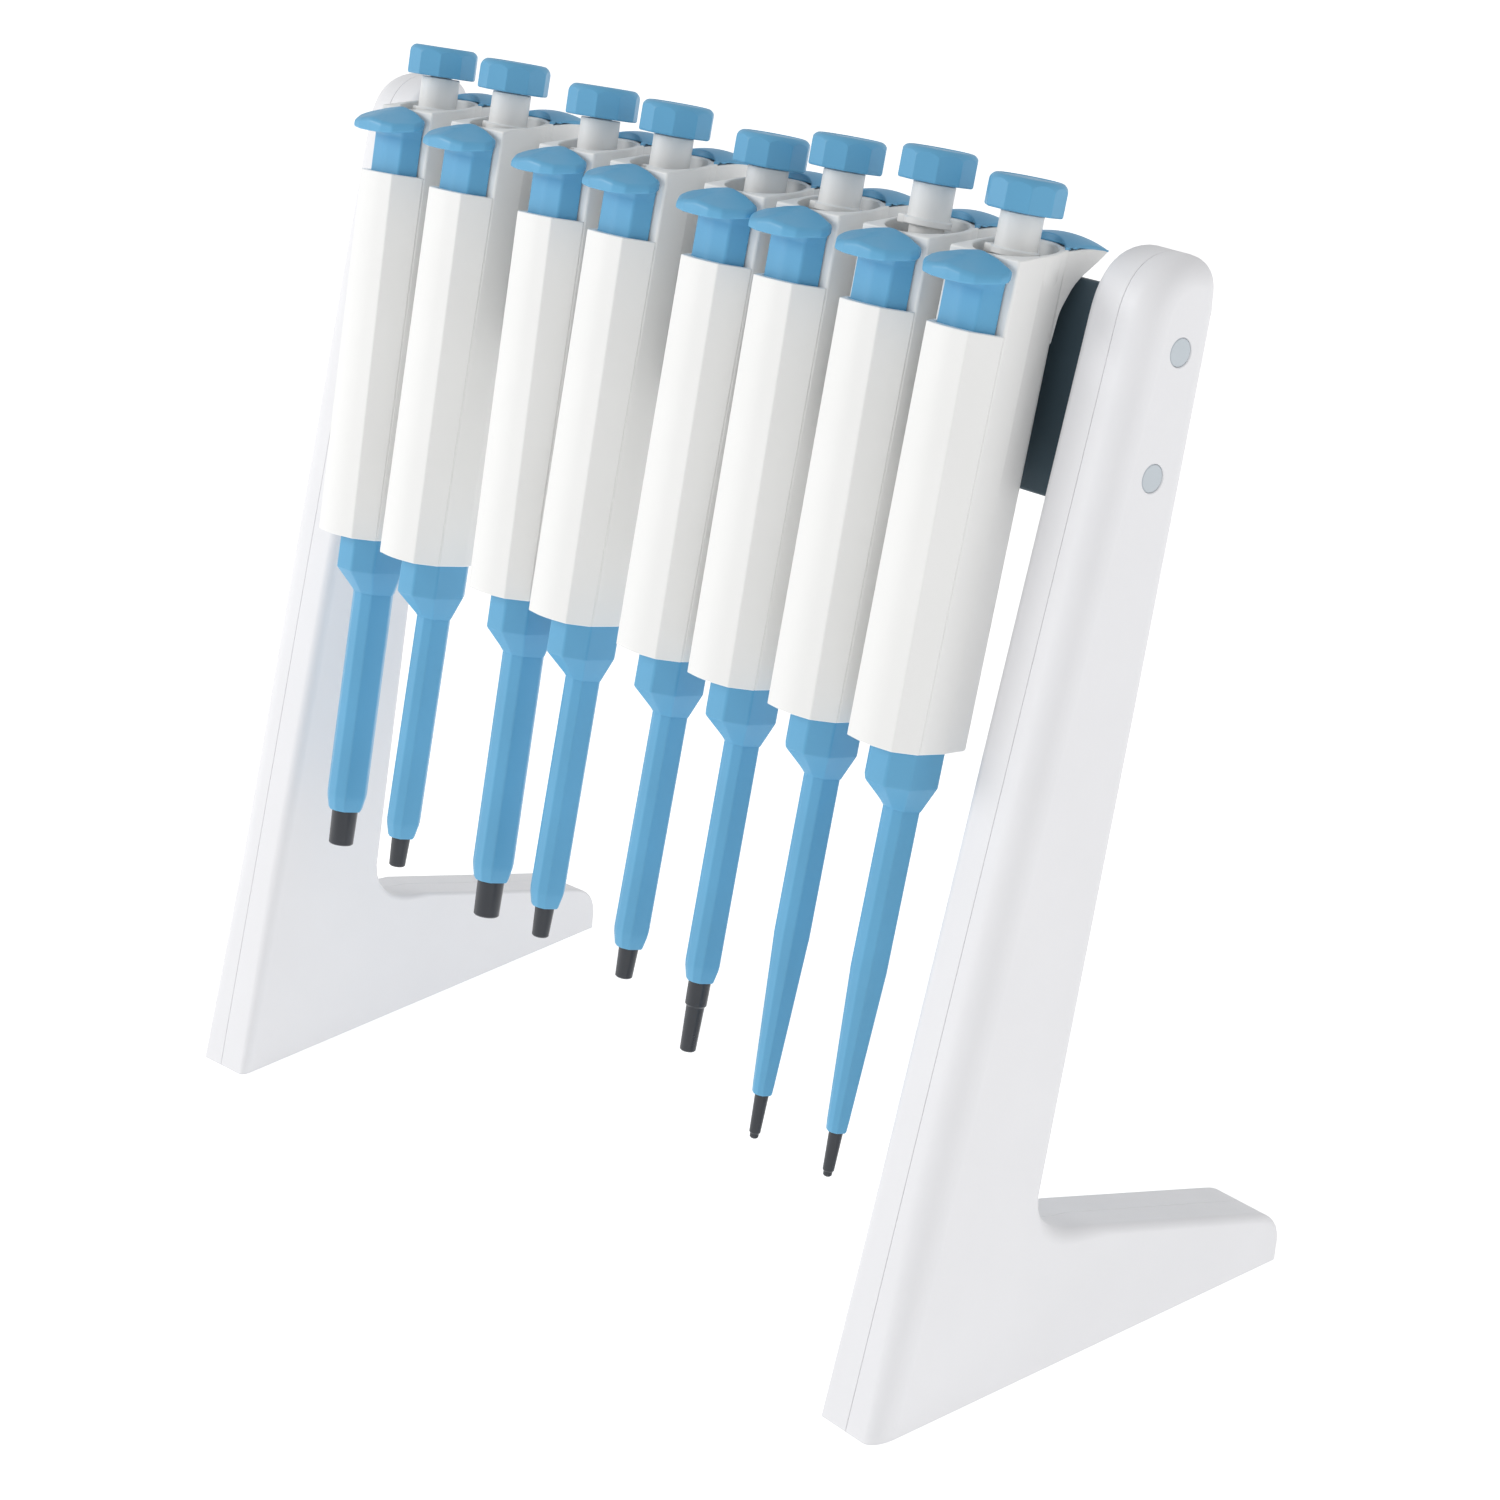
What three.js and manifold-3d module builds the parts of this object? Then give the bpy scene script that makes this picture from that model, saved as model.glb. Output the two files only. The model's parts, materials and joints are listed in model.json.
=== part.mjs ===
// A bench rack holding eight adjustable pipettes. Millimetres, +Z up, +X along the rail, -Y the front.
// Each pipette is drawn upright about its own axis (z = 0 at the top of its front cover) and then
// leaned back to lie parallel with the rail.
import * as THREE from 'three';
import Module from 'manifold-3d';
import { mergeVertices } from 'three/addons/utils/BufferGeometryUtils.js';

const wasm = await Module();
wasm.setup();

// ---- driving dimensions: rack -------------------------------------------------------------
const GAP = 0.3;                 // clearance between touching pieces
const RACK_WIDTH = 290;          // outer face to outer face, at the front of the feet
const LEG_THICKNESS = 20.8;
const LEG_EDGE_RADIUS = 3.5;
const LEG_HEIGHT = 290;
const TOE_OUT = THREE.MathUtils.degToRad(3.7);   // the feet spread towards the rear
const FOOT_LENGTH = 150;
const FOOT_REAR_HEIGHT = 14;
const FOOT_TOP_SLOPE = 0.285;
const FRONT_LEAN = 0.271;        // backward run of the upright's front edge per mm of height
const REAR_LEAN = 0.193;
const REAR_EDGE_START = 47;      // where the rear edge line meets the ground
const LEAN = THREE.MathUtils.degToRad(13.1);     // lean of rail and pipettes
const AXIS_Y = 68.5;             // pipette axis at the top of the front cover, behind the leg's front
const AXIS_Z = 270.7;
const RAIL_FRONT = 16.2;         // rail section, measured from the pipette axis
const RAIL_THICKNESS = 4;
const RAIL_TOP = 13.5;
const RAIL_BOTTOM = -40;
const PLUG_RADIUS = 3.5;
const PLUG_DEPTH = 2.2;
const PLUG_HEIGHTS = [2, -28.5];

// ---- driving dimensions: pipettes ---------------------------------------------------------
const COVER_BOTTOM = -105;       // lower end of the handle
const COVER_TOP = -2;            // upper end of the front cover
const RIM = 18.35;               // upper end of the handle at the axis, from where it rises to the rear
const RIM_SLOPE = Math.atan(0.205);
const RIM_RADIUS = 11.5;
const WELL_RADIUS = 10.2;
const WELL_FLOOR = -2;
const HOOK_HALF_WIDTH = 9.4;
const STEM_RADIUS = 5.35;
const FLANGE_RADIUS = 5.95;
const FLANGE_BASE = 15;
const FLANGE_HEIGHT = 1.8;
const SHAFT_RADIUS = 4.4;
const SHAFT_BOTTOM = -18;
const ROD_RADIUS = 1.8;
const ROD_BOTTOM = -70;
const PRESS_TRAVEL = 13;
const EJECT_TRAVEL = 8;
const KNOB_RADIUS = 9.8;
const KNOB_SIDES = 10;
const SPIGOT_RADIUS = 3;         // the stem's end inside the knob
const KNOB_HEIGHT = 8.2;
const KNOB_BASE = 25.7;
const COLUMN_BOTTOM = -20;
const COLLAR_TOP = COVER_BOTTOM - GAP;
const COLLAR_HEIGHT = 10;
const TAPER_HEIGHT = 6.5;

// The cone is the part a disposable tip is pushed on to: radius and height below the sleeve's end.
const LARGE = { sleeveRadius: 5.85, mouthRadius: 5.0, sleeveEnd: -187.2, neck: null,
  cone: [[3.8, 0], [3.6, -10.5]] };
const MEDIUM = { sleeveRadius: 4.85, mouthRadius: 3.95, sleeveEnd: -187.2, neck: null,
  cone: [[2.7, 0], [2.35, -8.8]] };
const STEPPED = { sleeveRadius: 4.75, mouthRadius: 3.85, sleeveEnd: -187.2, neck: null,
  cone: [[3.0, 0], [2.9, -6.6], [2.45, -7.2], [2.15, -19.6]] };
const SMALL = { sleeveRadius: 4.75, mouthRadius: 2.7, sleeveEnd: -208.2, neck: -166,
  cone: [[1.85, 0], [1.5, -10.6], [1.2, -11], [1.15, -12.3]] };
// One entry for each pipette, left to right. The tilt, in degrees, swings its lower end to the right.
const PIPETTES = [
  { x: -109.4, tilt: 2.47, knobLift: 0.4, ...LARGE },
  { x: -78.9, tilt: 1.26, knobLift: 0.8, ...MEDIUM },
  { x: -41.2, tilt: 2.16, knobLift: -0.4, ...LARGE },
  { x: -12.8, tilt: 0.6, knobLift: -0.4, ...MEDIUM },
  { x: 23.4, tilt: 0.17, knobLift: -2.6, ...MEDIUM },
  { x: 50.1, tilt: 0.6, knobLift: 1, ...STEPPED },
  { x: 80.4, tilt: 0.21, knobLift: 3, ...SMALL },
  { x: 109.5, tilt: -0.32, knobLift: 1, ...SMALL },
];

// ---- materials ----------------------------------------------------------------------------
const plastic = (color, roughness) => new THREE.MeshStandardMaterial({ color, roughness, metalness: 0 });
const WHITE = plastic(0xf0f0ee, 0.4);
const LEG_WHITE = plastic(0xebebee, 0.5);
const BLUE = plastic(0x66b4e0, 0.4);
const SLATE = plastic(0x3c4b55, 0.55);
const PLUG_GREY = plastic(0xc3cace, 0.5);
const CONE_BLACK = plastic(0x2c2f33, 0.4);

// ---- solid helpers ------------------------------------------------------------------------
function toSolid(geometry) {
  const bare = geometry.clone();
  bare.deleteAttribute('normal');
  bare.deleteAttribute('uv');
  const merged = mergeVertices(bare, 1e-4);
  return new wasm.Manifold(new wasm.Mesh({
    numProp: 3,
    vertProperties: new Float32Array(merged.attributes.position.array),
    triVerts: new Uint32Array(merged.index.array),
  }));
}

function toGeometry(solid) {
  const mesh = solid.getMesh();
  const geometry = new THREE.BufferGeometry();
  geometry.setAttribute('position', new THREE.BufferAttribute(new Float32Array(mesh.vertProperties), 3));
  geometry.setIndex(new THREE.BufferAttribute(new Uint32Array(mesh.triVerts), 1));
  geometry.computeVertexNormals();
  return geometry;
}

function shapeOf(points) {
  return new THREE.Shape(points.map(([x, y]) => new THREE.Vector2(x, y)));
}

// A prism standing on z = bottom, from an outline in x, y.
function prism(points, bottom, top) {
  const geometry = new THREE.ExtrudeGeometry(shapeOf(points), { depth: top - bottom, bevelEnabled: false });
  geometry.translate(0, 0, bottom);
  return geometry;
}

// A prism lying across x, from an outline in y, z.
function crossPrism(shape, halfWidth) {
  const options = { depth: 2 * halfWidth, bevelEnabled: false, curveSegments: 5 };
  const geometry = new THREE.ExtrudeGeometry(shape, options);
  geometry.translate(0, 0, -halfWidth);
  geometry.rotateY(Math.PI / 2);
  geometry.rotateX(Math.PI / 2);
  return geometry;
}

function turned(profile, segments = 16) {
  return new THREE.LatheGeometry(profile.map(([r, z]) => new THREE.Vector2(r, z)), segments)
    .rotateX(Math.PI / 2);
}

function cylinder(radius, bottom, top, segments = 16) {
  return turned([[0, bottom], [radius, bottom], [radius, top], [0, top]], segments);
}

const mirrored = (half) => [...half, ...half.map(([x, y]) => [-x, y]).reverse()];

// ---- rack ---------------------------------------------------------------------------------
const frontEdge = (z) => FRONT_LEAN * z;
const rearEdge = (z) => REAR_EDGE_START + REAR_LEAN * z;

// Side outline of a leg: the leaning upright, its rounded top, and the foot that runs back.
function legOutline(below) {
  const crotchZ = 40;
  const topStart = LEG_HEIGHT - 12;
  const outline = new THREE.Shape();
  outline.moveTo(frontEdge(-below), -below);
  outline.lineTo(FOOT_LENGTH, -below);
  outline.lineTo(FOOT_LENGTH + 1, FOOT_REAR_HEIGHT - 5);
  outline.quadraticCurveTo(FOOT_LENGTH + 1, FOOT_REAR_HEIGHT, FOOT_LENGTH - 5, FOOT_REAR_HEIGHT + 1.6);
  outline.lineTo(FOOT_LENGTH - (crotchZ - 3 - FOOT_REAR_HEIGHT) / FOOT_TOP_SLOPE, crotchZ - 3);
  outline.quadraticCurveTo(rearEdge(crotchZ) + 1, crotchZ, rearEdge(crotchZ + 10), crotchZ + 10);
  outline.lineTo(rearEdge(topStart), topStart);
  outline.quadraticCurveTo(rearEdge(LEG_HEIGHT), LEG_HEIGHT - 1, rearEdge(LEG_HEIGHT) - 9, LEG_HEIGHT);
  outline.quadraticCurveTo(frontEdge(LEG_HEIGHT), LEG_HEIGHT + 1, frontEdge(topStart), topStart);
  return outline;
}

// The whole leg in its own frame: x from 0 (outer face) to LEG_THICKNESS, y back, z up.
function legSolid() {
  const bevel = LEG_EDGE_RADIUS;
  const geometry = new THREE.ExtrudeGeometry(legOutline(bevel), {
    depth: LEG_THICKNESS - 2 * bevel, bevelEnabled: true, bevelSize: bevel, bevelOffset: -bevel,
    bevelThickness: bevel, bevelSegments: 2, curveSegments: 5 });
  geometry.translate(0, 0, bevel);
  geometry.rotateY(Math.PI / 2);
  geometry.rotateX(Math.PI / 2);
  const ground = toSolid(new THREE.BoxGeometry(100, 400, 40).translate(0, 50, -20));
  return toSolid(geometry).subtract(ground);
}

// Centre of a plug on the leg's outer face: in line with the middle of the rail.
function plugPlace(height) {
  const back = RAIL_FRONT + RAIL_THICKNESS / 2;
  const y = AXIS_Y + back * Math.cos(LEAN) + height * Math.sin(LEAN);
  const z = AXIS_Z - back * Math.sin(LEAN) + height * Math.cos(LEAN);
  return [y, z];
}

function plugGeometry(height, radius, depth) {
  const [y, z] = plugPlace(height);
  const geometry = new THREE.CylinderGeometry(radius, radius, depth, 20).rotateZ(Math.PI / 2);
  return geometry.translate(depth / 2, y, z);
}

function legShells() {
  const whole = legSolid();
  const middle = LEG_THICKNESS / 2;
  const half = (low, high) => toSolid(new THREE.BoxGeometry(high - low, 500, 700)
    .translate((low + high) / 2, 100, 200));
  let outer = whole.intersect(half(-1, middle - GAP / 2));
  for (const height of PLUG_HEIGHTS) {
    const pocket = toSolid(plugGeometry(height, PLUG_RADIUS + GAP, 2 * (PLUG_DEPTH + GAP)).translate(
      -PLUG_DEPTH - GAP, 0, 0));
    outer = outer.subtract(pocket);
  }
  const inner = whole.intersect(half(middle + GAP / 2, LEG_THICKNESS + 1));
  return { outer: toGeometry(outer), inner: toGeometry(inner) };
}

// Places a leg piece drawn in the leg's frame on one side of the rack.
function placeOnSide(geometry, side) {
  const placed = geometry.clone();
  placed.rotateZ(TOE_OUT);
  placed.translate(-RACK_WIDTH / 2, 0, 0);
  if (side > 0) {
    placed.scale(-1, 1, 1);
    placed.index.array.reverse();
    placed.computeVertexNormals();
  }
  return placed;
}

function railGeometry() {
  const back = plugPlace(PLUG_HEIGHTS[1])[0];
  const halfLength = RACK_WIDTH / 2 - LEG_THICKNESS * Math.cos(TOE_OUT) + back * Math.sin(TOE_OUT) - 1;
  const round = 1.2;
  const low = RAIL_FRONT;
  const high = RAIL_FRONT + RAIL_THICKNESS;
  const outline = shapeOf([
    [low + round, RAIL_BOTTOM], [high - round, RAIL_BOTTOM], [high, RAIL_BOTTOM + round],
    [high, RAIL_TOP - round], [high - round, RAIL_TOP], [low + round, RAIL_TOP],
    [low, RAIL_TOP - round], [low, RAIL_BOTTOM + round]]);
  return crossPrism(outline, halfLength);
}

// ---- pipette: handle ----------------------------------------------------------------------
const BODY_HALF = [[11.3, -10.9], [11.4, -1.6], [10.9, 5], [9.4, 9.4], [3.5, 10.2]];
const COVER_TOP_HALF = [[1.8, -20.2], [6.9, -18.8], [11.25, -11], [10.2, -9.2]];
const COVER_END_HALF = [[1.8, -18.4], [7.6, -17.0], [11.25, -11], [10.2, -9.2]];
const SLOT_HALF = [[2.2, -17.3], [6.5, -16.4], [9.0, -11.9], [9.0, -10.4]];
const COLUMN_HALF = [[2, -16.9], [6.1, -16], [8.6, -11.6], [8.6, -11.3]];
const CHANNEL = { halfWidth: 3.4, front: -12.6, rear: -9.4 };
const EJECTOR_ROD = { halfWidth: 3, front: -12.2, rear: -9.8 };

// The front cover narrows towards its lower end, so it is a loft between two outlines.
function coverSolid() {
  const ring = (half, z) => mirrored(half).map(([x, y]) => [x, y, z]);
  const low = ring(COVER_END_HALF, COVER_BOTTOM);
  const high = ring(COVER_TOP_HALF, COVER_TOP);
  return wasm.Manifold.hull([...low, ...high]);
}

function hookShape() {
  const hook = new THREE.Shape();
  hook.moveTo(4, 0);
  hook.lineTo(8, 19.5);
  hook.lineTo(11, 20.2);
  hook.lineTo(11, 22.7);
  hook.lineTo(18, 23);
  hook.quadraticCurveTo(22.5, 22.9, 24, 22);
  hook.lineTo(24, 21.2);
  hook.lineTo(17, 15.1);
  hook.quadraticCurveTo(12, 11.3, 10, 6);
  hook.lineTo(9.5, 0);
  return hook;
}

// Everything above the plane of the handle's rim.
function aboveRim() {
  return toSolid(new THREE.BoxGeometry(80, 80, 40).translate(0, 0, 20)
    .rotateX(RIM_SLOPE).translate(0, 0, RIM));
}

function handleGeometry(spec) {
  const ahead = toSolid(new THREE.BoxGeometry(60, 40, 60).translate(0, BODY_HALF[0][1] - 20, 20));
  const tube = toSolid(cylinder(RIM_RADIUS, WELL_FLOOR, RIM + 6, 24)).subtract(ahead);
  const body = toSolid(prism(mirrored(BODY_HALF), COVER_BOTTOM, RIM + 6)).add(tube).subtract(aboveRim());
  const clearOfKnob = toSolid(cylinder(RIM_RADIUS, RIM + 2, RIM + 10, 24));
  const hook = toSolid(crossPrism(hookShape(), HOOK_HALF_WIDTH)).subtract(clearOfKnob);
  let solid = body.add(coverSolid()).add(hook);
  solid = solid.subtract(toSolid(cylinder(WELL_RADIUS, WELL_FLOOR, RIM + 10, 24)));
  const boreFloor = SHAFT_BOTTOM - PRESS_TRAVEL - 2;
  solid = solid.subtract(toSolid(cylinder(SHAFT_RADIUS + GAP, boreFloor, WELL_FLOOR + 1)));
  const rodFloor = ROD_BOTTOM - PRESS_TRAVEL - 2;
  solid = solid.subtract(toSolid(cylinder(ROD_RADIUS + GAP, rodFloor, boreFloor + 1, 12)));
  const slotFloor = COLUMN_BOTTOM - EJECT_TRAVEL - 1;
  solid = solid.subtract(toSolid(prism(mirrored(SLOT_HALF), slotFloor, COVER_TOP + 0.5)));
  const channel = mirrored([[CHANNEL.halfWidth, CHANNEL.front], [CHANNEL.halfWidth, CHANNEL.rear]]);
  solid = solid.subtract(toSolid(prism(channel, COVER_BOTTOM - 1, COLUMN_BOTTOM)));
  const seat = cylinder(spec.shaftRadius + GAP, COVER_BOTTOM - 1, COVER_BOTTOM + 8);
  return toGeometry(solid.subtract(toSolid(seat)));
}

// ---- pipette: plunger ---------------------------------------------------------------------
function stemGeometry(lift) {
  const top = KNOB_BASE + lift - GAP;
  const flange = FLANGE_BASE + lift;
  const spigotTop = top + 3.6;
  return turned([
    [0, ROD_BOTTOM], [ROD_RADIUS, ROD_BOTTOM], [ROD_RADIUS, SHAFT_BOTTOM],
    [SHAFT_RADIUS, SHAFT_BOTTOM], [SHAFT_RADIUS, flange], [FLANGE_RADIUS, flange],
    [FLANGE_RADIUS, flange + FLANGE_HEIGHT], [STEM_RADIUS, flange + FLANGE_HEIGHT], [STEM_RADIUS, top],
    [SPIGOT_RADIUS, top], [SPIGOT_RADIUS, spigotTop], [0, spigotTop]]);
}

function knobGeometry(lift) {
  const base = KNOB_BASE + lift;
  const round = 1.8;
  const top = base + KNOB_HEIGHT;
  const outer = turned([[0, base], [KNOB_RADIUS - 0.6, base], [KNOB_RADIUS, base + 0.8],
    [KNOB_RADIUS, top - round], [KNOB_RADIUS - round, top], [0, top]], KNOB_SIDES);
  return toGeometry(toSolid(outer).subtract(toSolid(cylinder(SPIGOT_RADIUS + GAP, base - 1, base + 4))));
}

// ---- pipette: ejector ---------------------------------------------------------------------
const PAD_HALF = [[4.5, -23.4], [8.3, -22.2], [12.6, -17.5], [12.9, -15.6], [11.8, -13.6], [6, -11.9]];
const PAD_PIVOT = -17.5;         // the pad's top and underside are planes, given by their height here
const PAD_TOP = { height: 14.6, slope: THREE.MathUtils.degToRad(21) };
const PAD_UNDERSIDE = { height: 10.2, slope: THREE.MathUtils.degToRad(14) };
const ROD_JOIN = 4;              // height over which the column reaches back to its rod

function buttonGeometry() {
  const sloping = (plane, side) => toSolid(new THREE.BoxGeometry(60, 60, 20).translate(0, 0, 10 * side)
    .rotateX(plane.slope).translate(0, PAD_PIVOT, plane.height));
  const plate = toSolid(prism(mirrored(PAD_HALF), 8.4, 19))
    .subtract(sloping(PAD_TOP, 1)).subtract(sloping(PAD_UNDERSIDE, -1));
  const column = toSolid(prism(mirrored(COLUMN_HALF), COLUMN_BOTTOM, 12));
  const { halfWidth, front, rear } = EJECTOR_ROD;
  const reach = toSolid(prism(mirrored([[halfWidth, front], [halfWidth, -11.4]]),
    COLUMN_BOTTOM, COLUMN_BOTTOM + ROD_JOIN));
  const rod = toSolid(prism(mirrored([[halfWidth, front], [halfWidth, rear]]), COVER_BOTTOM, COLUMN_BOTTOM));
  return toGeometry(plate.add(column).add(reach).add(rod));
}

const COLLAR_HALF = [[3.2, -12.2], [7.8, -7.6], [7.8, 2.8], [3.2, 7.4]];

function sleeveGeometry(spec) {
  const collarEnd = COLLAR_TOP - COLLAR_HEIGHT;
  const taperEnd = collarEnd - TAPER_HEIGHT;
  const outline = mirrored(COLLAR_HALF);
  const block = prism(outline, collarEnd, COLLAR_TOP);
  const taperTop = outline.map(([x, y]) => [x, y, collarEnd]);
  const taperLow = Array.from({ length: 16 }, (_, i) => {
    const angle = (i * Math.PI) / 8;
    return [spec.sleeveRadius * Math.cos(angle), spec.sleeveRadius * Math.sin(angle), taperEnd];
  });
  const taper = wasm.Manifold.hull([...taperTop, ...taperLow]);
  const neck = spec.neck ?? spec.sleeveEnd + 4;
  const tube = turned([[0, spec.sleeveEnd], [spec.mouthRadius, spec.sleeveEnd],
    [spec.neck ? spec.mouthRadius + 0.2 : spec.sleeveRadius, spec.neck ? spec.sleeveEnd + 3 : neck],
    [spec.sleeveRadius, neck + 0.01], [spec.sleeveRadius, taperEnd + 0.5], [0, taperEnd + 0.5]]);
  const bore = turned(boreProfile(spec));
  return toGeometry(toSolid(block).add(taper).add(toSolid(tube)).subtract(toSolid(bore)));
}

// The space inside the sleeve, which the pipette's lower shaft fills with clearance.
function boreProfile(spec) {
  const clear = GAP + 0.1;
  const mouth = spec.cone[0][0] + clear;
  const top = COLLAR_TOP + 1;
  if (spec.neck) {
    return [[0, spec.sleeveEnd - 1], [mouth, spec.sleeveEnd - 1], [mouth, spec.sleeveEnd + 3],
      [spec.shaftRadius + clear, spec.neck + 2], [spec.shaftRadius + clear, top], [0, top]];
  }
  return [[0, spec.sleeveEnd - 1], [mouth, spec.sleeveEnd - 1], [mouth, spec.sleeveEnd + 5],
    [spec.shaftRadius + clear, spec.sleeveEnd + 7], [spec.shaftRadius + clear, top], [0, top]];
}

// The lower shaft inside the sleeve with the tip cone on its end.
function coneGeometry(spec) {
  const end = spec.sleeveEnd;
  const coneRadius = spec.cone[0][0];
  const shoulder = spec.neck ? [[coneRadius, end + 6], [spec.shaftRadius, spec.neck + 6]]
    : [[coneRadius, end + 8], [spec.shaftRadius, end + 10]];
  const cone = spec.cone.map(([r, z]) => [r, end + z]).reverse();
  const top = COVER_BOTTOM + 7;
  return turned([[0, cone[0][1]], ...cone, ...shoulder, [spec.shaftRadius, top], [0, top]]);
}

// ---- assembly -----------------------------------------------------------------------------
const object = new THREE.Group();
const rackCentreY = (LEG_THICKNESS * Math.sin(TOE_OUT) + (FOOT_LENGTH + 1) * Math.cos(TOE_OUT)) / 2;
object.position.set(0, -rackCentreY, 0);

function addMesh(parent, name, geometry, material) {
  const mesh = new THREE.Mesh(geometry, material);
  mesh.name = name;
  parent.add(mesh);
}

function leaningGroup(x, tilt) {
  const group = new THREE.Group();
  group.position.set(x, AXIS_Y, AXIS_Z);
  group.rotation.set(-LEAN, -THREE.MathUtils.degToRad(tilt), 0, 'XYZ');
  object.add(group);
  return group;
}

const shells = legShells();
for (const [side, name] of [[-1, 'left'], [1, 'right']]) {
  addMesh(object, `${name}_leg_outer_shell`, placeOnSide(shells.outer, side), LEG_WHITE);
  addMesh(object, `${name}_leg_inner_shell`, placeOnSide(shells.inner, side), LEG_WHITE);
  PLUG_HEIGHTS.forEach((height, i) => {
    const plug = plugGeometry(height, PLUG_RADIUS, PLUG_DEPTH);
    addMesh(object, `${name}_screw_plug_${i + 1}`, placeOnSide(plug, side), PLUG_GREY);
  });
}
addMesh(leaningGroup(0, 0), 'rail', railGeometry(), SLATE);

PIPETTES.forEach((entry, i) => {
  const number = i + 1;
  const spec = { ...entry, shaftRadius: entry.sleeveRadius - 1.4 };
  const pipette = leaningGroup(spec.x, spec.tilt);
  addMesh(pipette, `handle_${number}`, handleGeometry(spec), WHITE);
  addMesh(pipette, `plunger_stem_${number}`, stemGeometry(spec.knobLift), WHITE);
  addMesh(pipette, `volume_knob_${number}`, knobGeometry(spec.knobLift), BLUE);
  addMesh(pipette, `ejector_button_${number}`, buttonGeometry(), BLUE);
  addMesh(pipette, `ejector_sleeve_${number}`, sleeveGeometry(spec), BLUE);
  addMesh(pipette, `tip_cone_${number}`, coneGeometry(spec), CONE_BLACK);
});

export default object;
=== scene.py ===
"""A bench rack with eight adjustable pipettes, in metres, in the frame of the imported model.

Each pipette's pieces are drawn in millimetres about its own axis (x right, y back, z up the axis, with the
origin where the volume knob's joint is) and placed by that joint. The pieces of the eight pipettes that are
alike share one mesh.
"""
import json
import math

import bmesh
import bpy
from mathutils import Matrix, Vector


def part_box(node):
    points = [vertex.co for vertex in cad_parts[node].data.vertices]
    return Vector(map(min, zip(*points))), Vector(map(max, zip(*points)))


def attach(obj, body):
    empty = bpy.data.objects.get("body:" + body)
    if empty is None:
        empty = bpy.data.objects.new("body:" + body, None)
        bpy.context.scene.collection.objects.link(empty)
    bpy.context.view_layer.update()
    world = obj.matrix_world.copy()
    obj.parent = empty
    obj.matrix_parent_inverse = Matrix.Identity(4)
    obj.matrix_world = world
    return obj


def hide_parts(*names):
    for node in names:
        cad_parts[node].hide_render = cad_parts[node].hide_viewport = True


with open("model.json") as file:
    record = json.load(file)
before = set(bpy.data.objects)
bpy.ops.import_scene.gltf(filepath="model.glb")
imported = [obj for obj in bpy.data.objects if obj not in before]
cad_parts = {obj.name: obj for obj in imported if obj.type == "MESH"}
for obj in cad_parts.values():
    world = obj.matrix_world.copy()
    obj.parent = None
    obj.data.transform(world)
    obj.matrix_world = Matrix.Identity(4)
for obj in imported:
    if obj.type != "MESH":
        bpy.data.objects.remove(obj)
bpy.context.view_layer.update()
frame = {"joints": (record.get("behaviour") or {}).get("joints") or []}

MM = 0.001
PIPETTES = range(1, 9)
SEGMENTS = 72            # points round a turned piece

# ---- camera -------------------------------------------------------------------------------
CAMERA_PLACE = (0.6350, -0.5968, 0.4771)
CAMERA_YAW, CAMERA_PITCH, CAMERA_ROLL = 46.03, 22.22, 0.99
CAMERA_LENS = 80.71
CAMERA_SHIFT = (0.0026, 0.00827)

# ---- pipette dimensions, in millimetres about its axis ------------------------------------
HANDLE_BOTTOM = -105
COVER_TOP = -2
RIM = 18.35              # height of the handle's rim at the axis
RIM_SLOPE = 0.205        # rise of the rim for each millimetre back
RIM_RADIUS = 11.5
WELL_RADIUS = 10.2
WELL_FLOOR = -2
WELL_FOOT_RADIUS = 8.95  # the well is narrower below the knob's lowest place
HOOK_HALF_WIDTH = 9.4
PAD_FRONT_RADIUS = 11.6  # the hook pad's front edge is an arc about the axis
STEM_RADIUS = 5.35
SHAFT_RADIUS = 4.4
SHAFT_BOTTOM = -18
ROD_RADIUS = 1.8
ROD_BOTTOM = -70
FLANGE_RADIUS = 5.95
FLANGE_BASE = 15
FLANGE_HEIGHT = 1.8
KNOB_SIDES = 10
KNOB_RADIUS = 9.8
KNOB_BASE = 25.7
KNOB_HEIGHT = 8.2
SPIGOT_RADIUS = 3
COLUMN_BOTTOM = -20
COLLAR_TOP = -105.3
COLLAR_BOTTOM = -115.3
TAPER_BOTTOM = -121.8
CLEARANCE = 0.3
PRESS_TRAVEL = 13
EJECT_TRAVEL = 8

KNOB_LIFTS = (0.4, 0.8, -0.4, -0.4, -2.6, 1, 3, 1)
KNOB_TURNS = (27.6, 18.7, 19.3, 25, 22, 24, 23.7, 29)   # degrees, azimuth of one corner
SLEEVES = {
    "large": {"radius": 5.85, "mouth": 5.0, "end": -187.2, "neck": None, "cone": [(3.8, 0), (3.6, -10.5)]},
    "medium": {"radius": 4.85, "mouth": 3.95, "end": -187.2, "neck": None, "cone": [(2.7, 0), (2.35, -8.8)]},
    "stepped": {"radius": 4.75, "mouth": 3.85, "end": -187.2, "neck": None,
                "cone": [(3.0, 0), (2.9, -6.6), (2.45, -7.2), (2.15, -19.6)]},
    "small": {"radius": 4.75, "mouth": 2.7, "end": -208.2, "neck": -166,
              "cone": [(1.85, 0), (1.5, -10.6), (1.2, -11), (1.15, -12.3)]},
}
SLEEVE_KINDS = ("large", "medium", "large", "medium", "medium", "stepped", "small", "small")
WALL = 1.4               # thickness of an ejector sleeve's wall

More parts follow.
